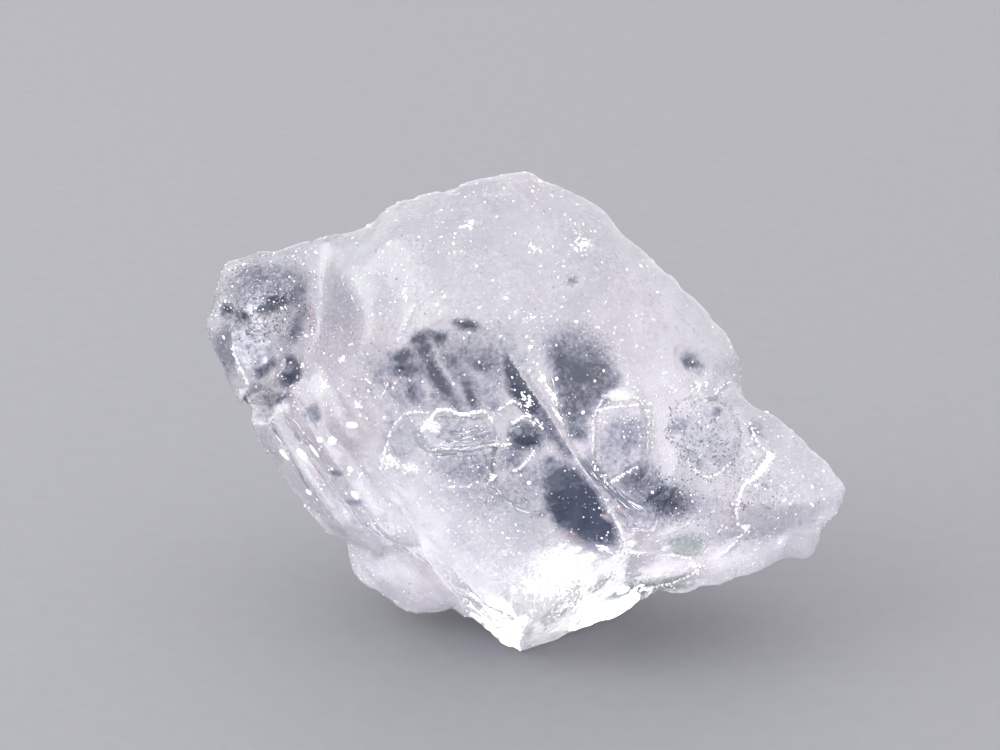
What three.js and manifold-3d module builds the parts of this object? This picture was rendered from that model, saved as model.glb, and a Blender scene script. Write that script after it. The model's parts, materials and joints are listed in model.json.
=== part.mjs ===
// A natural phenakite crystal, about 15 mm long, that rests on its flat broken base.
// It is one piece of mineral: two parallel plates grown as one body, a spur at the right, a thin
// blade at the left, and small later crystals seated on the front. All of it is one solid.
// Units are millimetres. The crystal is drawn in its own frame: X to the right, Y up along the
// face that is looked at, Z towards the front. It then stands up, leaning back by LEAN.

import * as THREE from "three";
import { mergeVertices } from "three/addons/utils/BufferGeometryUtils.js";
import Module from "manifold-3d";

const wasm = await Module();
wasm.setup();

// ---- driving dimensions ----
const LEAN = THREE.MathUtils.degToRad(20); // how far the front face leans back from upright
const BLOCK = 30; // side of the rough block that each individual is cut from
const CUTTER = 90; // side of the block that cuts one facet, far larger than the rough block
const ROUND = 30; // sides of a rounded chip or bump
// The gentler facet that eases each front facet into the face: its slope, and its height at a
// given distance in from the outline.
const EASING = { slope: 66, inset: 1.6, height: 2.3 };

// Each grown individual: its outline seen from the front, the depth of its girdle (the edge all
// round it), and the slope of the facets in front of and behind each side of the outline, where
// 90 degrees faces the front. A side runs from its own corner to the next one, anticlockwise, and
// every outline is convex.
const CORE_SIDES = [
  { corner: [0.0, 11.45], girdle: 0.7, front: 36, back: 30 }, // long upper left edge
  { corner: [-3.38, 10.55], girdle: 0.7, front: 30, back: 30 }, // step down to the shoulder
  { corner: [-5.8, 7.5], girdle: -1.0, front: 34, back: 30 },
  { corner: [-5.9, 4.0], girdle: -1.0, front: 34, back: 30 },
  { corner: [-3.4, 1.15], girdle: -1.0, front: 30, back: 30 },
  { corner: [-0.2, -0.8], girdle: -0.6, front: 30, back: 30 },
  { corner: [4.0, 0.7], girdle: -0.6, front: 34, back: 38 },
  { corner: [5.0, 2.9], girdle: 0.2, front: 36, back: 34 },
  { corner: [5.2, 6.6], girdle: 0.4, front: 38, back: 28 }, // blunt right corner
  { corner: [5.08, 7.3], girdle: 0.5, front: 38, back: 32 }, // long upper right edge
  { corner: [1.8, 10.52], girdle: 0.6, front: 36, back: 32 }, // short edge beside the top
];
const SHOULDER_SIDES = [
  { corner: [-3.3, 10.2], girdle: 0.6, front: 44, back: 30 },
  { corner: [-4.75, 10.02], girdle: 0.6, front: 44, back: 30 },
  { corner: [-6.3, 9.35], girdle: 0.0, front: 44, back: 26 },
  { corner: [-6.55, 6.2], girdle: -0.6, front: 40, back: 30 },
  { corner: [-6.75, 5.0], girdle: -0.8, front: 40, back: 34 },
  { corner: [-6.65, 4.4], girdle: -0.9, front: 40, back: 36 },
  { corner: [-5.98, 3.25], girdle: -1.0, front: 40, back: 36 },
  { corner: [-4.5, 2.3], girdle: -1.1, front: 30, back: 30 },
  { corner: [-0.5, 0.6], girdle: -1.2, front: 10, back: 10 },
  { corner: [0.5, 8.0], girdle: -1.0, front: 10, back: 10 },
];
const SPUR_SIDES = [
  { corner: [5.1, 6.42], girdle: 1.3, front: 40, back: 24 },
  { corner: [2.6, 7.6], girdle: 0.5, front: 30, back: 20 },
  { corner: [1.0, 2.2], girdle: 0.1, front: 20, back: 25 },
  { corner: [3.98, 1.13], girdle: 0.2, front: 40, back: 24 },
  { corner: [5.05, 1.66], girdle: 0.3, front: 42, back: 24 },
  { corner: [6.85, 2.1], girdle: 0.5, front: 40, back: 26 },
  { corner: [7.58, 3.92], girdle: 0.5, front: 44, back: 30 },
  { corner: [7.15, 4.48], girdle: 0.5, front: 50, back: 26 },
];
const BLADE_SIDES = [
  { corner: [-7.64, 7.68], girdle: 0.9, front: 44, back: 22 },
  { corner: [-6.8, 5.75], girdle: 0.9, front: 46, back: 24 },
  { corner: [-6.5, 5.8], girdle: 0.9, front: 66, back: 20 },
  { corner: [-4.0, 8.0], girdle: 0.4, front: 56, back: 20 },
  { corner: [-4.6, 10.05], girdle: 0.8, front: 44, back: 30 },
  { corner: [-7.02, 9.13], girdle: 0.8, front: 44, back: 26 },
];

// Facets that close each individual in front and behind: a point on the facet and its normal.
// The face and the ledge cross near the top of the long ridge, and part ways below it.
const FACE = [
  { at: [0.0, 7.2, 2.95], normal: [0.06, 0.06, 1] },
  { at: [0.7, 5.3, 2.9], normal: [-0.85, -0.53, 0.45] }, // the riser under the long ridge
  { at: [2.6, 4.6, 2.95], normal: [0.22, -0.1, 1] },
];
const LEDGE = [
  { at: [0.0, 7.2, 2.95], normal: [-0.08, -0.1, 1] },
  { at: [0.0, 8.4, 3.0], normal: [-0.02, 0.2, 1] },
  { at: [-2.6, 5.6, 2.55], normal: [-0.26, -0.16, 1] },
  { at: [-1.0, 3.4, 2.4], normal: [-0.05, -0.35, 1] },
];
const BACK = [
  { at: [0, 6.0, -5.6], normal: [0.1, 0.24, -1] },
  { at: [-2.5, 5.0, -4.9], normal: [-0.5, -0.1, -1] },
  { at: [3.0, 4.0, -5.0], normal: [0.62, -0.12, -1] },
];
const UNDERSIDE = [
  { at: [-0.2, 0, 0], normal: [0.489, -0.788, 0.375] },
  { at: [-0.2, 0, 0], normal: [-0.65, -0.7, 0.25] },
];
const SPUR_ENDS = [
  { at: [5.0, 4.4, 2.35], normal: [0.3, -0.12, 1] },
  { at: [5.0, 3.2, 2.2], normal: [0.16, -0.5, 1] },
  { at: [5.0, 4.0, -2.2], normal: [0.5, 0.1, -1] },
];
const BLADE_ENDS = [
  { at: [-6.0, 8.0, 1.95], normal: [-0.3, 0.1, 1] },
  { at: [-6.0, 8.0, -0.1], normal: [-0.5, -0.2, -1] },
];

// Chips and shell-shaped breaks: centre and the three radii of each scoop.
const CHIPS = [
  { at: [7.56, 2.85, 0.4], size: [0.7, 0.42, 2.2] }, // bite below the right tip
  { at: [1.45, 3.1, 4.1], size: [2.0, 1.6, 1.65] }, // hollow beside the long ridge
  { at: [-3.4, 3.4, 3.1], size: [1.7, 1.2, 1.1] }, // shallow dish in the lower left
  { at: [2.2, 9.4, -5.6], size: [2.0, 1.4, 1.8] }, // on the back
  { at: [-4.2, 5.6, -6.2], size: [1.8, 2.2, 2.0] },
  { at: [5.6, 5.2, -2.6], size: [1.6, 1.4, 1.4] },
];
// A row of small scallops along the upper right edge.
const SCALLOPS = { from: [2.45, 10.45], to: [5.4, 7.55], count: 5, size: [0.5, 0.5, 1.6], depth: 0 };

// Small later crystals seated on the surface: stubby six-sided prisms, a pyramid at each end.
const SEATED = [
  { at: [2.06, 5.15, 2.8], length: 2.3, width: 1.5, flat: 0.45, turn: 4, nod: 0 },
  { at: [-1.55, 5.25, 2.5], length: 1.95, width: 1.05, flat: 0.7, turn: 86, nod: 0 },
  { at: [-4.75, 4.55, 0.15], length: 5.2, width: 2.3, flat: 0.9, turn: -38, nod: 0 },
  { at: [-4.0, 4.5, 1.15], length: 4.6, width: 1.5, flat: 0.8, turn: -36, nod: 0 },
  { at: [-2.9, 2.1, -1.0], length: 3.0, width: 2.2, flat: 0.9, turn: -58, nod: 0 },
];
const PYRAMID_SHARE = 0.22; // of a seated crystal's length, at each end

// Rounded growths: centre and the three radii of each.
const BUDS = [
  { at: [-0.1, 5.15, 2.5], size: [0.41, 0.41, 0.41] }, // a round bud beside the second crystal
  { at: [4.0, 5.1, 1.85], size: [0.95, 0.95, 0.5] }, // a low pitted mound near the spur
];

// ---- solids from three.js geometry ----

/** A closed three.js geometry, placed by a matrix, as a solid that can be cut and joined. */
function solidOf(geometry, matrix = new THREE.Matrix4()) {
  const placed = geometry.clone().applyMatrix4(matrix);
  for (const name of ["normal", "uv"]) placed.deleteAttribute(name);
  const merged = mergeVertices(placed, 1e-5);
  return new wasm.Manifold(
    new wasm.Mesh({
      numProp: 3,
      vertProperties: merged.attributes.position.array,
      triVerts: new Uint32Array(merged.index.array),
    }),
  );
}

/** Cuts away all of a solid that lies beyond a facet. */
function cutFacet(solid, { at, normal }) {
  const outward = new THREE.Vector3(...normal).normalize();
  const centre = new THREE.Vector3(...at).addScaledVector(outward, CUTTER / 2);
  const turn = new THREE.Quaternion().setFromUnitVectors(new THREE.Vector3(0, 0, 1), outward);
  const matrix = new THREE.Matrix4().compose(centre, turn, new THREE.Vector3(1, 1, 1));
  return solid.subtract(solidOf(new THREE.BoxGeometry(CUTTER, CUTTER, CUTTER), matrix));
}

/** The facets along one side of an outline: one behind the girdle and two in front of it. */
function sideFacets(side, next) {
  const along = new THREE.Vector2(...next.corner).sub(new THREE.Vector2(...side.corner));
  const outward = new THREE.Vector2(along.y, -along.x).normalize();
  const facet = (degrees, inset, height) => {
    const tilt = THREE.MathUtils.degToRad(degrees);
    const [x, y] = [side.corner[0] - inset * outward.x, side.corner[1] - inset * outward.y];
    const flat = Math.cos(tilt);
    return { at: [x, y, height], normal: [outward.x * flat, outward.y * flat, Math.sin(tilt)] };
  };
  return [
    facet(-side.back, 0, side.girdle),
    facet(side.front, 0, side.girdle),
    facet(EASING.slope, EASING.inset, EASING.height),
  ];
}

/** One grown individual: a block cut by every facet that bounds it. */
function individual(sides, ends) {
  const facets = sides.flatMap((side, i) => sideFacets(side, sides[(i + 1) % sides.length]));
  const block = solidOf(new THREE.BoxGeometry(BLOCK, BLOCK, BLOCK));
  return [...facets, ...ends].reduce(cutFacet, block);
}

/** A scoop or a bud: a faceted ball stretched to three radii. */
function ball(at, size) {
  const matrix = new THREE.Matrix4().compose(
    new THREE.Vector3(...at),
    new THREE.Quaternion(),
    new THREE.Vector3(...size),
  );
  return solidOf(new THREE.SphereGeometry(1, ROUND, ROUND / 2), matrix);
}

/** A small six-sided crystal with a blunt pyramid at each end. */
function seatedCrystal({ at, length, width, flat, turn, nod }) {
  const half = length / 2;
  const shoulder = half * (1 - 2 * PYRAMID_SHARE);
  const profile = [
    [0, -half],
    [width * 0.22, -half],
    [width / 2, -shoulder],
    [width / 2, shoulder],
    [width * 0.22, half],
    [0, half],
  ].map(([radius, height]) => new THREE.Vector2(radius, height));
  const matrix = new THREE.Matrix4().compose(
    new THREE.Vector3(...at),
    new THREE.Quaternion().setFromEuler(
      new THREE.Euler(THREE.MathUtils.degToRad(nod), 0, THREE.MathUtils.degToRad(-turn)),
    ),
    new THREE.Vector3(1, 1, flat),
  );
  return solidOf(new THREE.LatheGeometry(profile, 6, Math.PI / 6), matrix); // a side faces front
}

/** The crystal in its own frame, cut flat where it rests. */
function growCrystal() {
  const face = individual(CORE_SIDES, [...FACE, ...BACK, ...UNDERSIDE]);
  const ledge = individual(CORE_SIDES, [...LEDGE, ...BACK, ...UNDERSIDE]);
  const shoulder = individual(SHOULDER_SIDES, [...LEDGE, ...BACK, ...UNDERSIDE]);
  const spur = individual(SPUR_SIDES, SPUR_ENDS);
  const blade = individual(BLADE_SIDES, BLADE_ENDS);
  let body = face.add(ledge).add(shoulder).add(spur).add(blade);
  for (const { at, size } of CHIPS) body = body.subtract(ball(at, size));
  for (let n = 0; n < SCALLOPS.count; n += 1) {
    const share = n / (SCALLOPS.count - 1);
    const x = THREE.MathUtils.lerp(SCALLOPS.from[0], SCALLOPS.to[0], share);
    const y = THREE.MathUtils.lerp(SCALLOPS.from[1], SCALLOPS.to[1], share);
    body = body.subtract(ball([x, y, SCALLOPS.depth], SCALLOPS.size));
  }
  for (const crystal of SEATED) body = body.add(seatedCrystal(crystal));
  for (const { at, size } of BUDS) body = body.add(ball(at, size));
  const down = [0, -Math.cos(LEAN), -Math.sin(LEAN)];
  return cutFacet(body, { at: [0, 0, 0], normal: down });
}

/** A solid's vertices and triangles as three.js geometry. */
function geometryOf(solid) {
  const mesh = solid.getMesh();
  const geometry = new THREE.BufferGeometry();
  geometry.setAttribute("position", new THREE.BufferAttribute(mesh.vertProperties, mesh.numProp));
  geometry.setIndex(new THREE.BufferAttribute(mesh.triVerts, 1));
  geometry.computeVertexNormals();
  return geometry;
}

// ---- the crystal, standing on its base ----
const crystal = new THREE.Mesh(
  geometryOf(growCrystal()).rotateX(Math.PI / 2 - LEAN),
  new THREE.MeshStandardMaterial({ color: 0xdbd8e1, roughness: 0.3, metalness: 0 }),
);
crystal.name = "phenakite_crystal";

// The origin is the middle of the box around the crystal, at its base.
crystal.geometry.computeBoundingBox();
const box = crystal.geometry.boundingBox;
crystal.position.set(-(box.min.x + box.max.x) / 2, -(box.min.y + box.max.y) / 2, -box.min.z);

const specimen = new THREE.Group();
specimen.add(crystal);

export default specimen;
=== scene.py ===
# %% [markdown]
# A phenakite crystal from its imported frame
#
# Phenakite is a beryllium silicate, hard and glassy like quartz but a little more refractive. This
# one is 15 mm long: clear mineral that is clouded by veils of tiny cavities, with clear windows
# between them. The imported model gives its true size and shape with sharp, plain facets. This
# lesson rounds those facets as the real, slightly dissolved surface is, adds its relief, and then
# seals inside it what the mineral holds.

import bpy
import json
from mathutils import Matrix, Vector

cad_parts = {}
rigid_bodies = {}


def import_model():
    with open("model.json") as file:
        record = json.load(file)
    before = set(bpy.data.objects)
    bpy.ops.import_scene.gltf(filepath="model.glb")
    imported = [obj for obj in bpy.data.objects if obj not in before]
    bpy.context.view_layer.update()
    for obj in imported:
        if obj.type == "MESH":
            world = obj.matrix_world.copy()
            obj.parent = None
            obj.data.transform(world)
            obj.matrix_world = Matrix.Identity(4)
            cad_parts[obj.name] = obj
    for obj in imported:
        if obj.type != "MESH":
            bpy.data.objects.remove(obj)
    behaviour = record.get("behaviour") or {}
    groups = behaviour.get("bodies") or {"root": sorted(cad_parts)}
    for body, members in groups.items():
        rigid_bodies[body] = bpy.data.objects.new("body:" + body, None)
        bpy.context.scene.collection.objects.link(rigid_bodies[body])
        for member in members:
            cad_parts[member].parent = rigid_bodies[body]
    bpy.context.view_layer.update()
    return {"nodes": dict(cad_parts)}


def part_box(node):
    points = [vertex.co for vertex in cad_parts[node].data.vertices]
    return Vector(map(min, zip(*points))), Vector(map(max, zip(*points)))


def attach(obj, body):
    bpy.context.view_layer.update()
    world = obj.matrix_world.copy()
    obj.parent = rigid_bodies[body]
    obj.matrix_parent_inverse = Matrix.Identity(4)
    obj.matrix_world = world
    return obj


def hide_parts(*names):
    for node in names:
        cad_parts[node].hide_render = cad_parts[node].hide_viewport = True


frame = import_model()
print("the frame's solids:", list(frame["nodes"]))

# %% [markdown]
# Blender works in metres, and a 15 mm crystal is awkwardly small in them: the remesher, for one,
# refuses cells under a tenth of a millimetre. So every mesh here is made in millimetres, and is
# shrunk to metres once, when it is placed.

# %% Millimetres
import json
import math

import bmesh
import bpy
import numpy as np
from mathutils import Matrix, Vector
from mathutils.bvhtree import BVHTree

MM = 0.001  # metres in a millimetre
NODE = "phenakite_crystal"
low, high = (np.array(corner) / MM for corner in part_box(NODE))
print("crystal box in mm:", np.round(low, 2), np.round(high, 2))

# %% [markdown]
# The crystal leans back by 20 degrees on its broken foot. Its features are easier to place in its
# own directions: `across` to the right, `up` along the leaning front, and `out` of the front.

# %% The crystal's own directions
LEAN = math.radians(20)
FOOT = np.array([0.019, -3.036, 0.0])  # mm, where the front of the foot meets the ground
ACROSS = np.array([1.0, 0.0, 0.0])
UP = np.array([0.0, math.sin(LEAN), math.cos(LEAN)])
OUT = np.array([0.0, -math.cos(LEAN), math.sin(LEAN)])
OWN_AXES = np.array([ACROSS, UP, OUT])


def own(points):
    """Frame points in mm, seen in the crystal's own directions."""
    return (np.asarray(points) - FOOT) @ OWN_AXES.T


def framed(points):
    """The way back: own coordinates as frame points in mm."""
    return np.asarray(points) @ OWN_AXES + FOOT


print("the middle of the crystal in its own directions:", np.round(own((low + high) / 2), 2))

# %% [markdown]
# Natural surfaces are uneven at every scale, and so are the clouds inside. Both come from one
# smooth noise: random numbers on a coarse lattice, blended between its corners. Layers of it at
# shrinking sizes make a fractal noise. A fixed seed for each use gives the same crystal each time.

# %% Noise
LATTICE = 32  # the lattice repeats after this many lumps, far past the crystal's ends


def eased(share):
    """A share from 0 to 1 with its ends eased."""
    share = np.clip(share, 0, 1)
    return share * share * (3 - 2 * share)


def lumps(points, size, seed):
    """Smooth noise from -1 to 1, with lumps of about this size in mm."""
    lattice = np.random.default_rng(seed).uniform(-1, 1, (LATTICE,) * 3)
    cells, shares = np.divmod(np.asarray(points) / size, 1)
    cells = cells.astype(int)
    shares = eased(shares)
    total = np.zeros(len(cells))
    for corner in np.ndindex(2, 2, 2):
        weight = np.prod(np.where(corner, shares, 1 - shares), axis=1)
        total += weight * lattice[tuple(((cells + corner) % LATTICE).T)]
    return total


def fractal(points, size, seed, layers=4):
    """Layers of noise, each half the size and half the strength of the one before."""
    total = sum(lumps(points, size / 2**n, seed + n) / 2**n for n in range(layers))
    return total / (2 - 2 ** (1 - layers))


# %% [markdown]
# Relief moves every point of a mesh by its own amount, and smoothing moves it again and again. A
# loop over 280,000 vertices would take minutes, so the points and edges are read into arrays once,
# and the points are moved there all together.

# %% A net of points
def evaluated(mesh, kind, weights=None, **settings):
    """The mesh that one modifier makes of this one. Weights go to it as a vertex group."""
    work = bpy.data.objects.new("work", mesh)
    bpy.context.scene.collection.objects.link(work)
    if weights is not None:
        group = work.vertex_groups.new(name="weights")
        for weight in np.unique(weights[weights > 0]):
            group.add(np.flatnonzero(weights == weight).tolist(), weight, "REPLACE")
        settings["vertex_group"] = group.name
    modifier = work.modifiers.new(kind, kind)
    for name, value in settings.items():
        setattr(modifier, name, value)
    made = bpy.data.meshes.new_from_object(work.evaluated_get(bpy.context.evaluated_depsgraph_get()))
    bpy.data.objects.remove(work)
    return made


class Net:
    """A mesh's points and edges as arrays, with what the relief needs."""

    def __init__(self, mesh):
        self.mesh = mesh
        count = len(mesh.vertices)
        self.points = np.empty(count * 3)
        mesh.vertices.foreach_get("co", self.points)
        self.points = self.points.reshape(-1, 3)
        edges = np.empty(len(mesh.edges) * 2, np.int32)
        mesh.edges.foreach_get("vertices", edges)
        self.edges = edges.reshape(-1, 2)
        self.degree = np.bincount(edges, minlength=count)

    def spread(self, values):
        """Each point's value becomes the mean of its neighbours' values."""
        first, second = self.edges.T
        columns = []
        for column in np.atleast_2d(values.T):
            total = np.bincount(first, column[second], len(column))
            total += np.bincount(second, column[first], len(column))
            columns.append(total / self.degree)
        return np.array(columns).T.reshape(values.shape)

    def normals(self):
        """Writes the points to the mesh and reads its normals back."""
        self.mesh.vertices.foreach_set("co", self.points.ravel())
        self.mesh.update()
        found = np.empty(self.points.size)
        self.mesh.vertices.foreach_get("normal", found)
        return found.reshape(-1, 3)


# %% [markdown]
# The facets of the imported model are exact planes. A voxel remesh gives them an even net that can
# carry relief, and smoothing that net rounds every edge, as slow dissolving does. The places that
# keep their detail get only a few passes, and the rest get many.

# %% Round the facets
CELL = 0.045  # mm, the finest relief that the net can carry is about twice this
ROUNDING_PASSES = 8
SOFT_PASSES = 150  # where the facets melt into each other
CRISP = [  # across, up and reach in mm of what keeps its detail
    (2.0, 5.15, 1.7), (-1.5, 5.2, 1.5), (-0.1, 5.2, 0.9), (4.0, 5.1, 1.3), (-4.4, 4.3, 1.9),
    (0.4, 6.0, 1.1), (1.7, 4.6, 0.9), (2.5, 3.3, 1.2), (-6.3, 7.6, 1.5), (7.3, 2.9, 0.6),
    (5.1, 4.2, 0.9), (-2.0, 7.0, 1.3), (-6.1, 6.1, 1.0), (-6.5, 8.7, 1.2), (0.0, 0.6, 1.2),
]


def plainness(points, places):
    """0 in the middle of these places on the front, easing to 1 away from them."""
    plain = np.ones(len(points))
    for x, y, reach in places:
        apart = np.hypot(points[:, 0] - x, points[:, 1] - y) / reach
        plain = np.minimum(plain, np.clip(3 * apart - 2, 0, 1))
    return plain


source = frame["nodes"][NODE].data.copy()
source.transform(Matrix.Scale(1 / MM, 4))
source.materials.clear()
net = Net(evaluated(source, "REMESH", mode="VOXEL", voxel_size=CELL))
plain = plainness(own(net.points), CRISP)[:, None]
for turn in range(SOFT_PASSES):
    share = 0.5 if turn < ROUNDING_PASSES else 0.5 * plain
    net.points += share * (net.spread(net.points) - net.points)
print("points in the net:", len(net.points), "faces:", len(net.mesh.polygons))

# %% [markdown]
# Much of what the eye finds on the front is a line: the rim of a seated crystal, a healed break, a
# groove. A line follows a few places on the front, joined by a smooth curve, and every point of the
# net asks how far it is from the curve and on which side. A closed line that runs clockwise has its
# inside on the right, so the same question raises a whole small crystal.

# %% Lines on the front
FAR = -9.0  # mm, stands for any distance past a line's reach: to its left, so outside a closed one
TIE = 1e-6  # mm, a smaller difference is none


def route(places, step=0.06):
    """Places every step along a smooth curve through the given ones."""
    knots = np.array([places[0], *places, places[-1]], float)
    if places[0] == places[-1]:
        knots[0], knots[-1] = places[-2], places[1]
    found = []
    for before, first, second, after in zip(knots, knots[1:], knots[2:], knots[3:]):
        count = max(2, int(np.hypot(*(second - first)) / step))
        t = np.linspace(0, 1, count, endpoint=False)[:, None]
        bend = (2 * before - 5 * first + 4 * second - after) * t**2
        bend += (3 * first - before - 3 * second + after) * t**3
        found.append(first + 0.5 * ((second - before) * t + bend))
    return np.concatenate([*found, knots[-2:-1]])


def cornered(*places, keep=0.07):
    """The places with two more by each corner, which keep the sides between them straight."""
    path = [places[0]]
    for start, end in zip(places, places[1:]):
        start, end = np.array(start), np.array(end)
        ahead = keep * (end - start) / np.hypot(*(end - start))
        path += [tuple(start + ahead), tuple(end - ahead), tuple(end)]
    return path


def beside(points, places, reach=0.9):
    """How far each point is from a line on the front, in mm: plus on its right, minus on its left."""
    path = route(places)
    flat = points[:, :2]
    within = (flat > path.min(0) - reach) & (flat < path.max(0) + reach)
    close = np.flatnonzero(np.all(within, axis=1))
    spots = flat[close]
    best, surest = np.full(len(spots), FAR), np.zeros(len(spots))
    for start, end in zip(path, path[1:]):
        ahead = end - start
        offset = spots - start
        share = np.clip(offset @ ahead / max(ahead @ ahead, 1e-9), 0, 1)
        gap = np.hypot(*(offset - share[:, None] * ahead).T)
        # off a corner two stretches are equally near, and the one it lies more beside has the side
        aside = (ahead[1] * offset[:, 0] - ahead[0] * offset[:, 1]) / max(np.hypot(*ahead), 1e-9)
        closer = gap < np.abs(best) - TIE
        closer |= (gap < np.abs(best) + TIE) & (np.abs(aside) > surest)
        best = np.where(closer, np.where(aside > 0, gap, -gap), best)
        surest = np.where(closer, np.abs(aside), surest)
    found = np.full(len(points), FAR)
    found[close] = best
    return found


def wavered(points):
    """The points, moved a little by noise, so that what is drawn by them is never quite straight."""
    moves = [0.05 * fractal(points, 0.45, 60 + n, 3) for n in range(2)]
    return points + np.stack([*moves, np.zeros(len(points))], axis=1)


# %% [markdown]
# These are the lines themselves, a few places across and up for each. Four of them outline things
# that stand proud: the long ridge, the six-sided crystal, the second crystal and the mound. The
# crests are thin walls where a growth face ends or a crack has healed, and the grooves are seams
# between two of them. The crests also carry painted highlights, and the grooves painted shade.

# %% Outlines of what stands proud
LONG_RIDGE = [  # from the bottom up, so that plus is to the right of it
    (2.1, 2.85), (2.0, 3.2), (1.6, 3.9), (1.03, 4.7), (0.58, 5.43), (0.17, 6.0), (-0.2, 6.56),
    (-0.48, 6.97),
]
SIX_SIDED = cornered(
    (1.44, 5.6), (1.68, 6.06), (2.1, 6.16), (2.5, 6.0), (2.7, 5.6), (2.65, 4.62), (1.76, 4.1),
    (1.42, 4.57), (1.44, 5.6),
)
SECOND_CRYSTAL = [
    (-2.48, 5.25), (-2.3, 5.6), (-2.06, 5.77), (-1.8, 5.77), (-1.5, 5.67), (-1.1, 5.76), (-0.85, 5.65),
    (-0.7, 5.3), (-0.72, 5.0), (-1.3, 4.9), (-1.9, 4.88), (-2.3, 4.92), (-2.48, 5.25),
]
MOUND = [
    (3.15, 5.2), (3.2, 5.55), (3.32, 5.78), (3.55, 5.95), (3.85, 6.02), (4.4, 5.95), (4.75, 5.6),
    (4.85, 5.1), (4.65, 4.6), (4.3, 4.28), (4.0, 4.26), (3.74, 4.42), (3.4, 4.75), (3.15, 5.2),
]
ridge_length = np.hypot(*np.diff(route(LONG_RIDGE), axis=0).T).sum()
print("the long ridge is", round(ridge_length, 1), "mm long")

# %% Crests and grooves
CRESTS = [  # height and width in mm, whiteness of painted highlight, then places across and up
    (0.05, 0.08, 0.9, (-2.45, 5.3), (-2.22, 5.6), (-2.05, 5.75), (-1.8, 5.76), (-1.5, 5.66),
     (-1.1, 5.75)),
    (0.04, 0.06, 0.7, (-1.1, 5.75), (-0.95, 5.7), (-0.84, 5.5)),
    (0.03, 0.05, 0.6, (-3.4, 4.4), (-3.15, 5.25), (-3.0, 5.5), (-2.7, 5.7), (-2.3, 5.7)),
    (0.03, 0.05, 0.8, (-2.24, 4.87), (-1.9, 4.89), (-1.34, 4.9), (-1.0, 4.96), (-0.4, 5.0)),
    (0.04, 0.06, 0.8, (-0.68, 5.77), (-0.4, 5.95), (-0.25, 5.91), (-0.03, 5.68), (0.1, 5.43)),
    (0.04, 0.06, 0.9, (-0.35, 5.45), (-0.1, 5.63), (0.15, 5.55), (0.3, 5.35)),
    (0.04, 0.06, 0.8, (0.11, 4.8), (-0.14, 4.5), (-0.37, 4.37)),
    (0.02, 0.035, 0.7, (-1.97, 4.02), (-1.34, 4.02)),
    (0.01, 0.035, 0.45, *cornered((1.42, 4.57), (1.44, 5.6), (1.68, 6.06))),
    (0.02, 0.06, 0.8, *cornered((1.42, 4.57), (1.76, 4.1), (2.4, 4.48))),
    (0.02, 0.04, 1.0, (1.56, 5.77), (2.0, 5.85), (2.45, 5.88)),
    (0.02, 0.03, 0.6, *cornered((2.5, 6.0), (2.7, 5.6), (2.66, 4.8))),
    (0.01, 0.025, 0.4, *cornered((2.5, 6.18), (2.82, 5.7), (2.78, 4.8))),
    (0.02, 0.05, 0.6, (3.6, 4.62), (3.74, 4.42), (4.0, 4.26), (4.28, 4.28), (4.5, 4.46), (4.64, 4.6)),
    (0.04, 0.05, 0.7, (4.3, 6.1), (4.5, 6.3), (4.7, 6.4)),
    (0.05, 0.07, 0.6, (5.15, 5.45), (5.28, 5.03), (5.47, 4.82), (5.6, 4.73)),
    (0.1, 0.13, 1.0, (5.6, 4.73), (5.52, 4.58), (5.36, 4.35), (5.17, 4.19)),
    (0.06, 0.08, 0.9, (5.17, 4.19), (5.0, 4.12), (4.88, 3.97), (4.79, 3.74), (4.72, 3.5)),
    (0.04, 0.06, 0.7, (4.72, 3.5), (4.8, 3.13), (5.0, 3.03), (4.7, 2.6), (4.3, 2.3)),
    (0.05, 0.06, 0.5, (1.6, 2.55), (2.5, 2.43), (3.4, 2.39), (3.8, 2.28), (3.96, 2.05), (3.4, 1.72),
     (2.5, 1.5)),
    (0.03, 0.06, 0.8, (-6.85, 7.2), (-6.7, 6.8), (-6.5, 6.35)),
    (0.03, 0.05, 0.4, (-2.6, 8.15), (-2.8, 7.7), (-3.0, 7.3)),
    (0.02, 0.03, 0.9, (-3.74, 6.47), (-3.52, 6.33)),
    (0.02, 0.03, 0.9, (-3.2, 6.37), (-3.28, 6.2), (-3.36, 6.05)),
]
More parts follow.
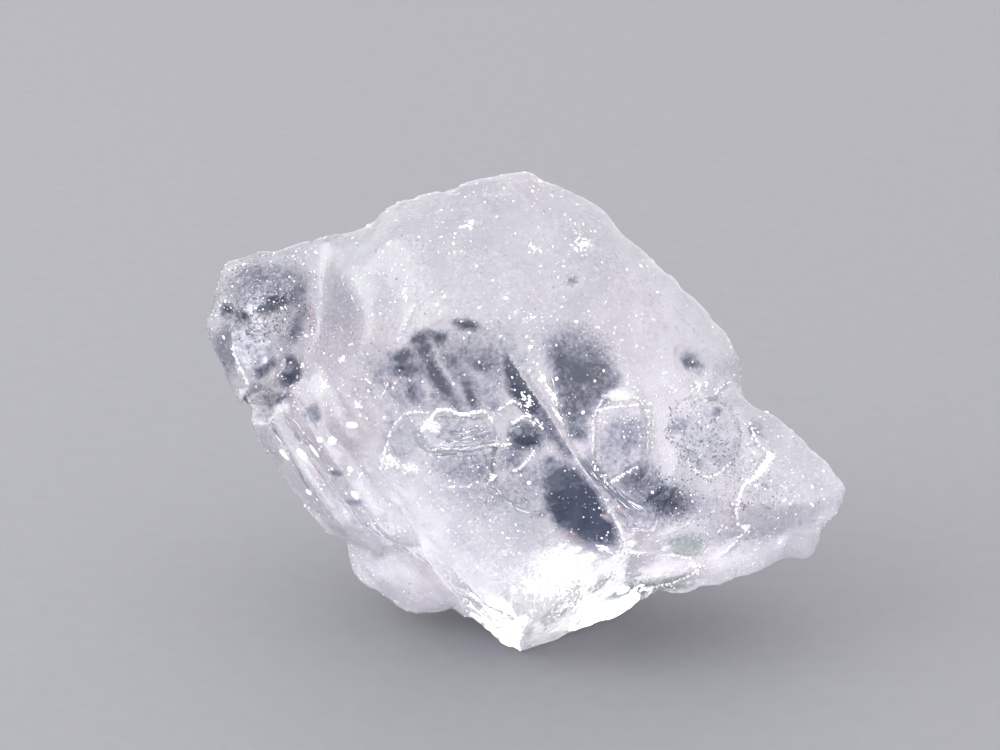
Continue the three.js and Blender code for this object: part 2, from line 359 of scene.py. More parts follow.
GROOVES = [  # depth and width in mm, darkness of painted shade, then places across and up
    (0.05, 0.11, 1.3, (-0.75, 4.9), (-0.81, 4.76), (-0.82, 4.31)),
    (0.03, 0.035, 0.5, (-0.37, 4.37), (-0.55, 4.15)),
    (0.03, 0.05, 0.7, (-2.3, 5.45), (-2.0, 5.62), (-1.6, 5.58), (-1.2, 5.55), (-1.0, 5.6)),
    (0.03, 0.04, 0.6, (-1.75, 5.3), (-1.6, 5.1), (-1.35, 5.2), (-1.2, 5.1), (-1.0, 5.25)),
    (0.03, 0.04, 0.5, (-2.1, 5.15), (-1.9, 5.05), (-1.65, 5.0)),
    (0.04, 0.05, 0.8, (0.3, 5.1), (0.2, 4.95), (0.05, 4.86), (-0.15, 4.85)),
    (0.03, 0.04, 0.6, (-0.45, 5.35), (-0.47, 5.1), (-0.38, 4.95)),
    (0.02, 0.035, 0.6, (2.45, 5.43), (2.43, 5.1), (2.38, 4.87)),
    (0.02, 0.035, 0.4, (2.32, 6.1), (2.52, 5.88), (2.6, 5.6), (2.6, 5.2)),
    (0.02, 0.05, 0.5, (3.14, 5.1), (3.18, 5.3), (3.2, 5.55), (3.3, 5.77), (3.5, 5.93), (3.8, 6.02)),
    (0.03, 0.05, 0.6, (3.2, 5.0), (3.5, 4.9), (3.8, 4.75)),
    (0.04, 0.05, 0.6, (5.22, 5.3), (5.17, 5.15)),
    (0.03, 0.05, 0.5, (4.65, 3.8), (4.6, 3.4), (4.66, 3.1)),
    (0.03, 0.06, 0.6, (3.9, 1.95), (3.4, 1.66), (2.9, 1.5), (2.4, 1.42)),
    (0.03, 0.05, 0.8, (-6.22, 5.7), (-5.75, 5.0), (-5.1, 3.9)),
    (0.03, 0.04, 0.8, (-5.72, 5.7), (-5.5, 5.4), (-5.31, 5.05)),
    (0.03, 0.04, 0.6, (-5.3, 6.0), (-4.9, 5.4), (-4.5, 4.8)),
    (0.03, 0.04, 0.6, (0.3, 4.35), (0.42, 4.58), (0.6, 4.7)),
]


def drawn(points, lines):
    """The relief in mm that some lines add up to, and how strongly each point is marked by them."""
    wavy = wavered(points)
    ragged = np.clip(0.85 + 0.7 * fractal(points, 0.2, 70, 2), 0, 1.3)
    height, mark = np.zeros(len(points)), np.zeros(len(points))
    for tall, width, strength, *places in lines:
        on_line = 1 - eased(np.abs(beside(wavy, places, 0.3)) / width)
        height += tall * on_line * ragged
        mark = np.maximum(mark, strength * on_line * ragged)
    return height, mark


print(len(CRESTS), "crests and", len(GROOVES), "grooves")

# %% [markdown]
# The relief is a sum, and every point of the net moves along its own normal by it. All round the
# crystal slow dissolving leaves broad, soft swells, and a sugary grain towards the foot. Its thin
# edges are chipped. Growth leaves fine steps along the crystal's length, which show best at the
# lower left. A notch cuts in under the blade, and a knob stands out under the spur's tip.

# %% Relief all round
GROWTH = math.radians(-58)  # the crystal's length runs down to the right, seen from the front
STEP_SPACING, STEP_HEIGHT = 0.42, 0.024  # mm, of the growth steps
SWELL_WIDTH, SWELL_HEIGHT = 2.3, 0.09  # mm
WAVE_WIDTH, WAVE_HEIGHT = 1.0, 0.04  # mm, of the smaller swells between them
ROUGH_WIDTH, ROUGH_HEIGHT = 0.5, 0.02  # mm
CHIP_WIDTH, CHIP_DEPTH = 0.45, 0.2  # mm
SUGAR_WIDTH, SUGAR_HEIGHT = 0.28, 0.028  # mm
NOTCH = (-6.3, 5.8, 0.46, 0.65)  # across, up, radius and depth in mm of the notch under the blade
KNOB = (6.45, 2.5, 0.55, 0.3)  # the same for the knob under the spur's tip, with its height


def near(points, x, y, radius):
    """1 at a place on the front, easing to 0 at this distance from it."""
    return 1 - eased(np.hypot(points[:, 0] - x, points[:, 1] - y) / radius)


seen = own(net.points)
normals = net.normals()

relief = SWELL_HEIGHT * lumps(seen, SWELL_WIDTH, 1) + WAVE_HEIGHT * lumps(seen, WAVE_WIDTH, 2)
relief += ROUGH_HEIGHT * fractal(seen, ROUGH_WIDTH, 3, 3)
rim = 1 - eased(np.abs(normals @ OUT) / 0.7)  # 1 along the outline, as seen from the front
relief += CHIP_DEPTH * np.minimum(fractal(seen, CHIP_WIDTH, 13, 3), 0.05) * rim
sugary = eased((5.0 - seen[:, 1]) / 3.0)
relief += SUGAR_HEIGHT * fractal(seen, SUGAR_WIDTH, 15, 3) * (0.35 + 0.65 * sugary)
relief -= NOTCH[3] * near(seen, *NOTCH[:3]) * (normals[:, 0] < 0.3)
relief += KNOB[3] * near(seen, *KNOB[:3])

down_length = seen[:, 0] * math.sin(GROWTH) - seen[:, 1] * math.cos(GROWTH)
steps = np.abs(np.mod(down_length / STEP_SPACING + 0.5 * lumps(seen, 1.6, 7), 1) - 0.5)
lower_left = eased((0.6 - seen[:, 0] - 0.35 * seen[:, 1]) / 1.6) * eased((7.6 - seen[:, 1]) / 2.0)
relief += STEP_HEIGHT * (eased(steps * 2) - 0.5) * lower_left
print("relief all round from", round(relief.min(), 3), "to", round(relief.max(), 3), "mm")

# %% [markdown]
# The front has more. Small crystals stand a tenth of a millimetre proud of it. The long ridge is
# sharp on its right side and falls off slowly on its left. Breaks leave ripples like those in a
# shell, beside the ridge. Etching leaves pits, and a fine grain on the mound and on the blade.

# %% Relief of the front
PROUD = 0.08  # mm that the six-sided and the second crystal stand proud
MOUND_HEIGHT = 0.03  # mm
BUD = (-0.06, 5.23, 0.42, 0.09)  # across, up, radius and height in mm of the round bud
RIDGE_HEIGHT = 0.06  # mm
RIPPLE_SPACING, RIPPLE_HEIGHT = 0.15, 0.009  # mm, of the ripples like those in a shell
GRAIN_WIDTH, GRAIN_HEIGHT = 0.16, 0.03  # mm, of the etched grain
BREAK_START = (1.0, 2.6)  # across and up, where the break started that left the ripples
SHELL_BREAK = (2.1, 3.6, 1.3)  # and its middle and radius
LUMPY = (0.95, 3.7, 1.3)  # the same for a lumpy hollow left of the ridge's lower end
LUMP_WIDTH, LUMP_HEIGHT = 0.3, 0.05  # mm
ETCHED = [  # strength, across, up and radius in mm: the mound, the blade, the spur and the ripples
    (0.7, 4.0, 5.15, 1.1), (0.8, -6.1, 8.2, 1.6), (0.6, 4.9, 3.6, 1.6), (1.3, 3.2, 3.7, 0.9),
]
PITS = [  # across, up, radius and depth in mm
    (-7.0, 8.0, 0.17, 0.16), (-6.65, 7.85, 0.16, 0.15), (-6.0, 8.15, 0.22, 0.14),
    (-5.75, 8.25, 0.15, 0.12), (-5.6, 6.5, 0.25, 0.16), (-5.75, 6.1, 0.18, 0.12),
    (-6.0, 6.75, 0.16, 0.12), (-5.55, 6.85, 0.12, 0.1), (3.7, 6.9, 0.3, 0.2),
    (3.95, 6.65, 0.2, 0.16), (3.5, 7.1, 0.16, 0.1), (1.0, 8.7, 0.18, 0.07),
]


def towards_front(points, normals):
    """1 where the surface looks out of the front, 0 at the sides and behind."""
    return eased((normals @ OUT) / 0.3) * eased((points[:, 2] + 3.6) / 1.2)


def grainy(points):
    """1 where the surface is etched to grain: the etched places, and the mound's rim."""
    grain = sum(strength * near(points, *spot) for strength, *spot in ETCHED)
    return np.clip(grain + 0.8 * (1 - eased(np.abs(beside(points, MOUND)) / 0.16)), 0, 1.3)


facing = towards_front(seen, normals)
wavy = wavered(seen)
on_front = PROUD * eased(beside(wavy, SIX_SIDED) / 0.13)
on_front += PROUD * eased(beside(wavy, SECOND_CRYSTAL) / 0.16)
on_front += MOUND_HEIGHT * eased(beside(wavy, MOUND) / 0.2) + BUD[3] * near(wavy, *BUD[:3])
side = beside(wavy, LONG_RIDGE)
on_front += RIDGE_HEIGHT * np.where(side > 0, 1 - eased(side / 0.06), 1 - eased(-side / 0.5))
away = np.hypot(*(seen[:, :2] - BREAK_START).T)
ripples = RIPPLE_HEIGHT * np.sin(away * math.tau / RIPPLE_SPACING)
on_front += ripples * near(seen, *SHELL_BREAK) * (side > 0)
on_front += drawn(seen, CRESTS)[0] - drawn(seen, GROOVES)[0]
on_front += GRAIN_HEIGHT * fractal(seen, GRAIN_WIDTH, 11, 2) * grainy(seen)
on_front += LUMP_HEIGHT * fractal(seen, LUMP_WIDTH, 17, 3) * near(seen, *LUMPY) * (side < 0)
for x, y, radius, depth in PITS:
    on_front -= depth * near(seen, x, y, radius * 1.6)
relief += on_front * facing

net.points += relief[:, None] * normals
net.points += 0.2 * (net.spread(net.points) - net.points)
net.points[:, 2] = np.maximum(net.points[:, 2], 0)  # nothing goes under the resting face
print("relief from", round(relief.min(), 3), "to", round(relief.max(), 3), "mm")

# %% [markdown]
# The net is now far finer than the plain faces, the sides and the back need. A Decimate modifier
# collapses it there, steered by a vertex group, and leaves the detailed places as they are.

# %% Thin the net out
TRIANGLES = 190_000
LEVELS = 4  # of weight in the vertex group
FINE = [*CRISP, (1.3, 4.3, 1.2), (1.2, 3.4, 1.1), (-1.9, 6.7, 1.6)]  # what keeps a fine net

net.normals()
plain = np.maximum(plainness(seen, FINE), 1 - facing) * (1 - 0.5 * rim)
net = Net(evaluated(
    net.mesh, "DECIMATE", weights=np.round(plain * LEVELS) / LEVELS,
    ratio=TRIANGLES / (2 * len(net.mesh.polygons)),
))
print("faces kept:", len(net.mesh.polygons), "points kept:", len(net.points))

# %% [markdown]
# Where is the crystal clear, and where is it clouded? Real veils follow old, healed cracks, so the
# windows between them have no simple shape. Each is placed as a soft ellipse on the front, and
# noise then frays them all. The windows beside the long ridge have lists of their own, because the
# ridge cuts them off sharply. Thin milky streaks part the windows at the upper left.

# %% Windows
# over each window the skin is painted slate dark: painted shade for the dark seen through it
# across, up, half length, half width in mm, turn of the length in degrees, and strength
LEFT_OF_RIDGE = [
    (-0.3, 6.5, 0.55, 0.28, -66, 1.6), (0.0, 6.05, 0.4, 0.26, -58, 1.4), (0.35, 5.5, 0.6, 0.22, -57, 1.0),
    (0.75, 4.95, 0.35, 0.14, -57, 0.85), (1.05, 3.6, 0.95, 0.5, -56, 1.9),
    (0.8, 3.95, 0.5, 0.42, -56, 1.7),
    (1.6, 3.1, 0.5, 0.32, -50, 1.4),
]
RIGHT_OF_RIDGE = [
    (0.95, 6.95, 0.55, 0.5, -50, 1.1), (1.2, 6.7, 0.5, 0.35, -65, 1.4), (1.0, 6.1, 0.6, 0.42, -60, 1.05),
    (1.6, 6.4, 0.55, 0.42, -60, 0.95), (0.95, 5.75, 0.34, 0.24, -60, 1.2),
    (1.1, 5.3, 0.35, 0.22, -56, 0.9),
    (1.45, 4.35, 0.45, 0.2, -50, 0.8), (0.6, 7.3, 0.35, 0.2, 20, 0.7), (2.0, 3.5, 0.6, 0.22, -55, 0.6),
    (1.3, 4.9, 0.4, 0.14, -56, 0.6),
]
WINDOWS = [
    # the dark arc at the upper left, and the streaks that run down from it
    (-1.42, 7.7, 0.3, 0.11, -10, 1.3), (-2.45, 7.42, 0.3, 0.14, 10, 1.4),
    (-2.07, 7.4, 0.16, 0.13, 0, 1.4),
    (-2.92, 6.98, 0.24, 0.15, 20, 1.3), (-2.38, 7.15, 0.15, 0.12, 40, 1.3),
    (-2.78, 6.65, 0.4, 0.14, 10, 1.0),
    (-3.4, 6.65, 0.4, 0.12, 10, 0.7), (-3.77, 7.17, 0.3, 0.1, -20, 1.0), (-0.75, 5.85, 0.14, 0.1, 0, 0.9),
    (-2.05, 6.45, 0.75, 0.14, -60, 1.3), (-1.5, 6.85, 0.5, 0.13, -30, 1.1),
    (-1.32, 6.1, 0.45, 0.16, -70, 1.1),
    (-0.95, 7.07, 0.16, 0.12, 40, 0.8), (-1.1, 6.75, 0.22, 0.12, -30, 1.0),
    (-2.6, 6.15, 0.35, 0.14, -70, 0.9),
    (-1.8, 6.6, 1.6, 0.95, 12, 0.58), (-3.4, 6.3, 0.8, 0.6, 10, 0.35), (-0.35, 7.2, 0.3, 0.2, 0, 0.65),
    # the left edge
    (-5.56, 6.5, 0.32, 0.2, 60, 1.1), (-5.75, 6.07, 0.2, 0.14, 0, 1.0), (-5.96, 5.93, 0.14, 0.1, 0, 0.9),
    (-6.0, 6.77, 0.2, 0.1, 60, 1.0), (-6.17, 6.67, 0.14, 0.08, 60, 1.0), (-5.58, 6.86, 0.14, 0.1, 0, 0.9),
    (-4.95, 5.7, 0.26, 0.16, 50, 1.0), (-4.04, 3.58, 0.25, 0.07, 10, 1.0),
    (-5.4, 7.6, 0.5, 0.16, 60, 0.6),
    # the blade
    (-6.2, 8.6, 0.8, 0.5, 20, 0.7), (-6.4, 7.1, 0.7, 0.4, 80, 0.45), (-6.9, 7.2, 1.0, 0.35, 80, 0.5),
    (-4.4, 7.6, 0.7, 0.5, 0, 0.35),
    (-7.0, 8.0, 0.2, 0.12, 10, 1.4), (-6.6, 7.85, 0.16, 0.12, 30, 1.4),
    (-5.97, 8.17, 0.3, 0.18, 20, 1.3), (-5.72, 8.22, 0.12, 0.14, 0, 1.2),
    (-5.3, 8.5, 0.45, 0.16, 60, 0.8),
    (-5.2, 8.0, 0.25, 0.2, 60, 0.6), (-6.5, 7.4, 0.5, 0.3, 80, 0.4),
    # beside the long ridge, in the hollow and on the spur
    (0.42, 4.58, 0.22, 0.17, 0, 0.9), (3.2, 3.7, 0.7, 0.4, -12, 1.1), (2.6, 4.1, 0.8, 0.45, -30, 0.75),
    (2.35, 3.6, 0.8, 0.5, -40, 0.55), (5.2, 2.85, 1.1, 0.5, -10, 0.35),
    (3.64, 2.64, 0.36, 0.22, -10, 0.62), (2.9, 1.55, 1.1, 0.14, 16, 0.6),
    # the round bud, the second crystal and what is under it
    (-0.06, 5.2, 0.38, 0.34, 0, 1.3), (-1.7, 5.3, 0.7, 0.3, 0, 0.45), (-1.1, 5.15, 0.4, 0.2, 0, 0.6),
    (-1.3, 4.5, 0.9, 0.4, -5, 0.6), (-0.35, 4.7, 0.35, 0.3, 0, 0.6), (0.0, 4.2, 0.6, 0.35, -40, 0.6),
    (-0.9, 3.9, 0.9, 0.5, -30, 0.55), (-0.28, 3.5, 0.3, 0.25, 0, 0.6), (-2.9, 5.0, 0.5, 0.7, 0, 0.45),
    # the six-sided crystal and the mound
    (2.05, 5.0, 0.95, 0.6, 85, 0.55), (2.27, 5.23, 0.5, 0.28, 82, 0.62), (3.4, 5.45, 0.3, 0.2, 40, 0.6),
    (4.0, 5.2, 0.7, 0.6, 0, 0.35), (4.3, 5.7, 0.14, 0.09, 30, 0.8), (5.2, 5.25, 0.08, 0.12, 0, 1.0),
    (3.8, 4.6, 0.3, 0.15, -30, 0.5),
    # small dark spots, painted shade as over the windows
    (-4.48, 9.77, 0.45, 0.16, 10, 0.55), (-4.2, 8.1, 0.4, 0.14, 0, 0.6),
    (-2.77, 9.0, 0.22, 0.08, 25, 1.0),
    (0.69, 10.75, 0.3, 0.1, -10, 0.6), (0.95, 10.2, 0.25, 0.1, -20, 0.6),
    (-0.67, 8.2, 0.25, 0.12, 20, 0.7),
    (3.73, 6.97, 0.26, 0.18, -30, 1.2), (3.98, 6.7, 0.14, 0.1, 0, 1.0), (0.91, 8.7, 0.2, 0.14, -30, 0.8),
    (-3.39, 8.03, 0.22, 0.1, 0, 0.6), (-3.12, 6.97, 0.16, 0.08, 0, 0.9), (-4.45, 4.3, 0.2, 0.06, 10, 0.9),
    (0.33, 3.4, 0.16, 0.05, 15, 1.2), (6.1, 4.2, 0.1, 0.05, -30, 0.9), (5.4, 4.0, 0.1, 0.05, 30, 0.9),
]
MILKY_STREAKS = [  # thin veils that part the windows at the upper left
    (-1.86, 6.6, 0.8, 0.05, -60, 1.0), (-1.4, 6.72, 0.5, 0.05, -45, 1.0),
    (-2.33, 6.2, 0.4, 0.06, -84, 0.9),
    (-2.25, 7.35, 0.25, 0.04, -60, 0.9),
]
print(len([*WINDOWS, *LEFT_OF_RIDGE, *RIGHT_OF_RIDGE]), "windows and", len(MILKY_STREAKS), "streaks")

# %% [markdown]
# The same kind of ellipse marks what is painted bright: painted highlights on fresh breaks, painted
# white ovals at the lower left, a painted strip of light along the ridge, and tiny painted flashes
# of colour where thin cracks split the light.

# %% Highlights and flashes
# the same numbers as for the windows
SHINES = [  # painted highlights, strewn with grains
    (1.23, 9.53, 0.3, 0.2, 20, 1.0), (-3.16, 4.6, 0.2, 0.16, 0, 1.0), (-2.7, 4.45, 0.3, 0.12, -15, 0.9),
    (-2.82, 8.37, 0.1, 0.22, 0, 0.9),
    (-1.4, 10.0, 0.3, 0.14, 10, 0.8), (0.1, 9.4, 0.18, 0.12, 0, 0.8), (-4.7, 6.3, 0.12, 0.1, 0, 0.9),
    (-4.3, 6.9, 0.1, 0.08, 0, 0.9), (-3.9, 5.9, 0.1, 0.1, 0, 0.9), (2.02, 6.1, 0.28, 0.1, 5, 1.0),
    (-2.15, 5.38, 0.16, 0.14, 0, 1.0), (5.45, 4.5, 0.25, 0.1, 50, 1.0), (5.0, 3.05, 0.12, 0.1, 0, 1.0),
    (-0.1, 6.06, 0.12, 0.1, 0, 1.0), (0.0, 5.92, 0.12, 0.12, 0, 0.9), (-0.8, 4.24, 0.08, 0.07, 0, 1.0),
    (0.9, 1.7, 0.9, 0.45, 60, 0.8), (1.9, 2.0, 0.7, 0.2, -5, 0.7), (1.2, 1.3, 0.7, 0.5, 40, 0.9),
    (2.1, 6.05, 0.4, 0.09, 0, 1.0), (3.9, 6.3, 0.3, 0.14, 20, 0.6),
]
PAINTED_OVALS = [  # painted highlights: smooth white ovals at the lower left
    (-5.68, 4.69, 0.22, 0.12, -55, 1.0), (-5.26, 4.71, 0.22, 0.1, -52, 1.0),
    (-4.95, 4.8, 0.24, 0.05, -55, 1.0),
    (-4.81, 5.06, 0.1, 0.09, 0, 1.0), (-4.52, 5.04, 0.14, 0.12, 80, 1.0),
    (-4.7, 4.78, 0.2, 0.1, -50, 0.6),
    (-4.04, 5.41, 0.2, 0.1, 5, 0.9), (-4.11, 4.38, 0.1, 0.07, -60, 1.0), (-4.0, 3.79, 0.18, 0.13, 0, 1.0),
    (-5.12, 3.82, 0.12, 0.07, -20, 0.9), (-1.25, 3.05, 0.38, 0.2, 80, 0.85),
    (-0.54, 2.55, 0.3, 0.2, 60, 0.8),
]
RIDGE_HIGHLIGHT = [  # a painted highlight: a bright strip along the right of the ridge
    (0.3, 6.5, 0.14, 0.08, -60, 1.0), (0.5, 6.1, 0.35, 0.07, -58, 0.9),
    (0.64, 5.65, 0.25, 0.05, -58, 0.8),
]
GLINTS = [  # painted flashes of orange and pink, where a thin crack splits the light
    (-5.01, 7.85, 0.12, 0.09, 60, 1.0), (-5.1, 8.1, 0.14, 0.06, 60, 0.6),
    (-4.25, 4.72, 0.09, 0.07, 0, 0.9),
    (-4.92, 4.35, 0.1, 0.07, 0, 0.8), (-4.28, 3.9, 0.08, 0.06, 0, 0.8), (1.72, 3.37, 0.1, 0.05, -30, 0.9),
    (1.98, 3.57, 0.14, 0.05, -55, 1.0), (-0.75, 5.06, 0.3, 0.05, 0, 0.8),
    (0.95, 2.85, 0.3, 0.12, -30, 0.45),
]
print(len([*SHINES, *PAINTED_OVALS, *RIDGE_HIGHLIGHT]), "highlights and", len(GLINTS), "flashes")

# %% [markdown]
# Now every point of the net gets a handful of numbers from all this, which the material reads. An
# image could carry them too, but it would need unwrapping, and the net is fine enough. The first
# number says how clear the crystal is. The sides and the back get windows of their own from broad
# noise, and so the crystal looks natural from behind too.

# %% Ellipses on the front
SOFTENING = 5  # passes that blur the windows' borders


def ellipse(points, x, y, length, width, turn):
    """1 in the middle of a turned ellipse on the front, easing to 0 well past its rim."""
    angle = math.radians(turn)
    right, up = points[:, 0] - x, points[:, 1] - y
    along = (right * math.cos(angle) + up * math.sin(angle)) / length
    across_it = (up * math.cos(angle) - right * math.sin(angle)) / width
    return 1 - eased((np.hypot(along, across_it) - 0.35) / 1.35)


def strongest(points, spots):
    """The strongest of some ellipses at each point."""
    found = np.zeros(len(points))
    for x, y, length, width, turn, strength in spots:
        found = np.maximum(found, strength * ellipse(points, x, y, length, width, turn))
    return found


def softened(values):
    """The values with their borders blurred."""
    for _ in range(SOFTENING):
        values = values + 0.6 * (net.spread(values) - values)
    return values


# %% How clear each point is
seen = own(net.points)
facing = towards_front(seen, net.normals())
frayed = seen + np.stack([0.14 * fractal(seen, 0.6, 20 + n, 4) for n in range(3)], axis=1)
fine = 0.5 + 1.1 * fractal(seen, 0.36, 90, 4)
side = beside(wavered(seen), LONG_RIDGE)

elsewhere = eased((fractal(seen, 2.6, 30, 3) - 0.12) / 0.3) * 0.45
parted = 1 - 0.85 * strongest(frayed, MILKY_STREAKS)
clear = softened(strongest(frayed, WINDOWS) * parted * facing + elsewhere * (1 - facing))
left_of_ridge = softened(strongest(frayed, LEFT_OF_RIDGE) * facing)
right_of_ridge = softened(strongest(frayed, RIGHT_OF_RIDGE) * facing)
clear = np.maximum(clear, left_of_ridge * eased((0.03 - side) / 0.04))
clear = np.maximum(clear, right_of_ridge * eased((side - 0.01) / 0.05)) * (0.8 + 0.6 * fine)
# the pits get the window's painted shade in their hollows
for x, y, radius, depth in PITS:
    clear = np.maximum(clear, depth / 0.1 * near(frayed, x, y, radius) * facing)
print("share of the surface over a window:", round(float((clear > 0.5).mean()), 3))

# %% [markdown]
# The other numbers say where the skin has painted shade, painted highlights or a tint. The milk is
# faintly pink in places, and it is green at the spur, as from grains of chlorite. The foot catches
# most of the light, so it is painted white as a painted glow, except where it is clear.

# %% How dark, bright or tinted it is
BLUSH = (2.6, 6.6, 0.9, 1.5, 0)  # across, up, half length, half width, turn: the pink at the right
SIX_SIDED_BLUSH = (2.05, 5.1, 0.6, 0.9, 0)
CHLORITE = [(3.64, 2.64, 0.45, 0.32, -10), (2.9, 1.55, 1.2, 0.25, 16)]
# the painted glow on the foot: across, up, half length, half width and turn
BRIGHT_FOOT = (0.9, 1.0, 1.5, 1.3, 60)

# painted shade in the grooves, and painted highlights on crests, shines, ovals and the ridge strip
dark = drawn(seen, GROOVES)[1] * facing
bright = np.maximum(drawn(seen, CRESTS)[1], strongest(frayed, SHINES)) * facing
bright = np.maximum(bright, strongest(seen, PAINTED_OVALS) * facing)
bright = np.maximum(bright, strongest(seen, RIDGE_HIGHLIGHT) * eased((side - 0.03) / 0.04))
bright *= 1 - 0.8 * eased(strongest(seen, LEFT_OF_RIDGE[:3])) * eased(-side / 0.03)

warm = eased(fractal(seen, 2.4, 40, 2) * 1.4 + 0.2)
warm += (0.8 * ellipse(frayed, *BLUSH) + ellipse(seen, *SIX_SIDED_BLUSH)) * facing
carried = {
    "clear": clear,
    "dark": dark,
    "bright": bright,
    "warm": warm,
    "green": sum(ellipse(frayed, *patch) for patch in CHLORITE) * facing,
    "painted_glint": strongest(frayed, GLINTS) * facing,
    "glow": ellipse(frayed, *BRIGHT_FOOT) * facing * (1 - eased(clear / 0.5)),
    "grain": grainy(seen) * facing,
    "cloud": 0.5 + 0.9 * fractal(seen, 1.6, 80, 3),
    "fine": fine,
}
for name, values in carried.items():
    layer = net.mesh.attributes.new(name, "FLOAT", "POINT")
    layer.data.foreach_set("value", np.clip(values, 0, 1.5))
print("numbers on each point:", len(carried))

# %% [markdown]
# A material is a tree of nodes. Three small helpers keep the trees short to read: one turns a hex
# colour to the linear values that a shader wants, one adds any node with its settings and links,
# and one starts an empty material.

# %% Colours and nodes
PER_MM = 1 / MM  # a texture's scale for lumps of one millimetre
SMOOTHSTEP = {"interpolation_type": "SMOOTHSTEP"}


def linear(hex_colour):
    """An sRGB hex colour as the linear RGBA that a shader wants."""
    channels = [int(hex_colour[i : i + 2], 16) / 255 for i in (1, 3, 5)]
    bright = [c / 12.92 if c <= 0.04045 else ((c + 0.055) / 1.055) ** 2.4 for c in channels]
    return (*bright, 1.0)


def add(tree, kind, inputs=None, **settings):
    """Adds a node with its settings. Its inputs are plain values, or nodes or sockets to link."""
    made = tree.nodes.new(kind)
    for name, value in settings.items():
        setattr(made, name, value)
    for name, value in (inputs or {}).items():
        if isinstance(value, bpy.types.Node):
            value = next(socket for socket in value.outputs if socket.enabled)
        if isinstance(value, bpy.types.NodeSocket):
            tree.links.new(value, made.inputs[name])
        else:
            made.inputs[name].default_value = value
    return made


def new_material(name):
    """A material with an empty node tree, and its output node."""
    material = bpy.data.materials.new(name)
    material.use_nodes = True
    tree = material.node_tree
    tree.nodes.clear()
    return material, tree, tree.nodes.new("ShaderNodeOutputMaterial")


# %% [markdown]
# The skin. Phenakite, grown in a cavity and lightly etched: clear mineral that is milky where tiny
# cavities crowd under its surface. It gives the eye a soft white glow, sharp small highlights and
# slate-blue depths; those depths are painted shade, for the dark seen through a window. The tints
# lie over each other in layers: each reads one number of the net, a fine mottle frays it, and a ramp
# turns it into a share of the layer's colour. Some layers paint light and shade: highlights on
# crests and breaks, flashes, the foot's glow, and shade in grooves and pits.

# %% Clouded phenakite
LAYERS = [  # the net's number, fraying, where it starts and is full, its most, and its colour
    ("cloud", 0.2, 0.0, 1.0, 1.0, "#f5f4fb"),  # thick milk
    ("warm", 0.2, 0.0, 1.0, 0.6, "#f0e1eb"),  # a breath of pink
    ("fine", 0.6, 0.2, 1.1, 0.7, "#fdfcff"),  # small white clouds
    ("clear", 0.35, 0.1, 0.8, 1.0, "#9092a9"),  # painted shade at the rim of a window
    ("clear", 0.5, 0.55, 1.3, 1.0, "#1f283f"),  # painted shade in its depth, slate blue, for the dark seen through it
    ("green", 0.4, 0.1, 1.0, 0.75, "#566f5f"),  # chlorite at the spur
    ("painted_glint", 0.4, 0.1, 1.0, 0.7, "#eec3b2"),  # painted flashes of orange
    ("dark", 0.5, 0.1, 0.9, 0.85, "#4b5261"),  # painted shade in the grooves
    ("bright", 0.6, 0.35, 0.9, 1.0, "#ffffff"),  # painted highlights on crests, breaks, ovals and the ridge strip
    ("glow", 0.1, 0.1, 0.9, 1.0, "#ffffff"),  # painted glow on the bright foot
]
MOTTLE_SIZE = 0.1  # mm

skin, tree, output = new_material("clouded_phenakite")
where = add(tree, "ShaderNodeTexCoord").outputs["Object"]
speckle = add(tree, "ShaderNodeTexNoise", {
    "Vector": where, "Scale": PER_MM / MOTTLE_SIZE, "Detail": 3.0, "Roughness": 0.6, "Distortion": 0.3,
})
mottle = add(tree, "ShaderNodeMapRange", {
    "Value": speckle, "From Min": 0.3, "From Max": 0.7, "To Min": -0.5, "To Max": 0.5,
}, **SMOOTHSTEP)

# a Mix node of colours has its factor in socket 0 and its two colours in sockets 6 and 7
colour = add(tree, "ShaderNodeMix", {
    0: mottle, 6: linear("#d9d8e2"), 7: linear("#c4c3d0"),
}, data_type="RGBA")
for name, fraying, start, full, most, tint in LAYERS:
    number = add(tree, "ShaderNodeAttribute", attribute_name=name).outputs["Fac"]
    uneven = add(tree, "ShaderNodeMath", {0: mottle, 1: fraying, 2: number}, operation="MULTIPLY_ADD")
    share = add(tree, "ShaderNodeMapRange", {
        "Value": uneven, "From Min": start, "From Max": full, "To Max": most,
    }, **SMOOTHSTEP)
    colour = add(tree, "ShaderNodeMix", {0: share, 6: colour, 7: linear(tint)}, data_type="RGBA")
print("layers of tint:", len(LAYERS))

# %% [markdown]
# Etching also leaves pits less than a tenth of a millimetre wide, too fine for the net, and the
# shade in each is painted dark into the skin. A Voronoi texture draws them: it has one cell for
# each pit, and the cell's random colour decides how large its pit is, or that it has none.

# %% Etched pits in the skin
PIT_SPACING = 0.11  # mm

cells = add(tree, "ShaderNodeTexVoronoi", {"Vector": where, "Scale": PER_MM / PIT_SPACING})
lot = add(tree, "ShaderNodeSeparateColor", {"Color": cells.outputs["Color"]})
radius = add(tree, "ShaderNodeMapRange", {
    "Value": lot, "From Min": 0.3, "From Max": 1.0, "To Min": -0.22, "To Max": 0.32,
})
past_rim = add(tree, "ShaderNodeMath", {0: cells, 1: radius}, operation="SUBTRACT")
pit = add(tree, "ShaderNodeMapRange", {
    "Value": past_rim, "From Min": 0.0, "From Max": 0.22, "To Min": 1.0, "To Max": 0.0,
}, **SMOOTHSTEP)
etched = add(tree, "ShaderNodeAttribute", attribute_name="grain").outputs["Fac"]
pitted = add(tree, "ShaderNodeMath", {0: pit, 1: etched}, operation="MULTIPLY")
